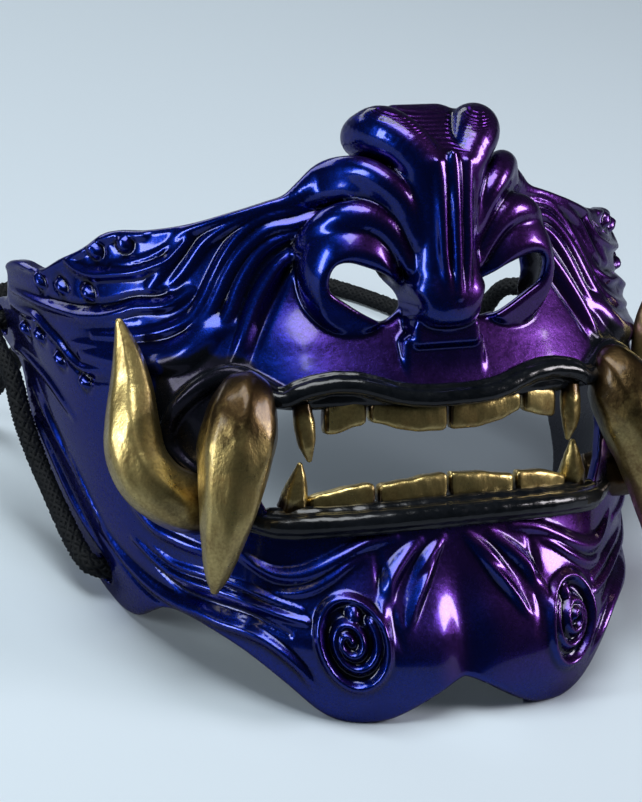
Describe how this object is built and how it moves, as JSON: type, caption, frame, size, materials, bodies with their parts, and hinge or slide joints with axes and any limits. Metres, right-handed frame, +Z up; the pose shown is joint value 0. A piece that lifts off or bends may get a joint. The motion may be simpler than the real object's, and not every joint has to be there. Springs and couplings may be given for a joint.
{
  "type": "oni half mask",
  "caption": "Hollow demon half mask for nose, cheeks and chin, with an open fanged mouth, tusks, studded cheek bands and a cord behind the head.",
  "frame": {"origin": "on the floor, under the middle of the standing mask without its cord", "axes": "+Z up, the face looks along -Y, +X is the right hand of someone who looks at the face"},
  "size_m": [0.1515, 0.2291, 0.1157],
  "materials": {
    "body_paint": "gloss colour-shift blue and violet metallic",
    "lip_paint": "gloss black",
    "gold_paint": "antique gold paint, worn satin",
    "cord_braid": "black braid"
  },
  "bodies": {
    "root": {"mask_shell": "body_paint", "upper_lip": "lip_paint", "lower_lip": "lip_paint", "upper_incisor_right": "gold_paint", "upper_incisor_left": "gold_paint", "upper_side_tooth_right": "gold_paint", "upper_side_tooth_left": "gold_paint", "lower_incisor_right": "gold_paint", "lower_incisor_left": "gold_paint", "lower_side_tooth_right": "gold_paint", "lower_side_tooth_left": "gold_paint", "upper_canine_right": "gold_paint", "upper_canine_left": "gold_paint", "lower_canine_right": "gold_paint", "lower_canine_left": "gold_paint", "upper_tusk_right": "gold_paint", "upper_tusk_left": "gold_paint", "lower_tusk_right": "gold_paint", "lower_tusk_left": "gold_paint", "cord": "cord_braid", "cord_knot_right": "cord_braid", "cord_knot_left": "cord_braid"}
  },
  "joints": []
}
